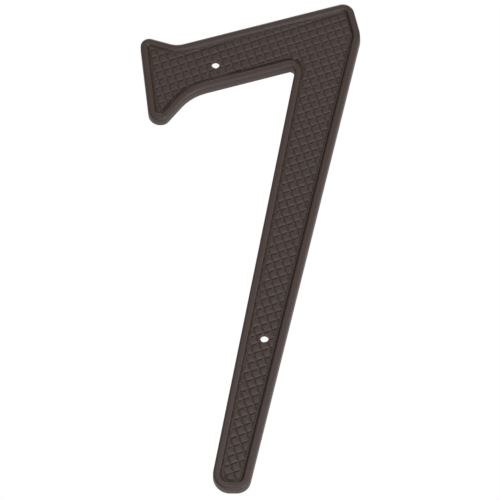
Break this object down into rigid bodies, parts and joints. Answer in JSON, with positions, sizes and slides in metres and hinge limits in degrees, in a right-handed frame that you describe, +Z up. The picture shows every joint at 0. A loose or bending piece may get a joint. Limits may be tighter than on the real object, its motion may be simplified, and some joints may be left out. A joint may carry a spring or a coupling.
{
  "type": "house number",
  "caption": "Nail-on house number seven, moulded in one piece, with a smooth raised rim round a finely checkered face and plain nail holes.",
  "frame": {"origin": "on the axis of the upper nail hole, where the hole opens into the cored back, 1 mm in front of the wall", "axes": "+Z up as the figure is read, +X to the reader's right, and the checkered face looks towards -Y"},
  "size_m": [0.0433, 0.0025, 0.1016],
  "materials": {
    "moulded_plastic": "dark brown, as moulded, fine satin grain"
  },
  "bodies": {
    "root": {"figure_seven": "moulded_plastic"}
  },
  "joints": []
}
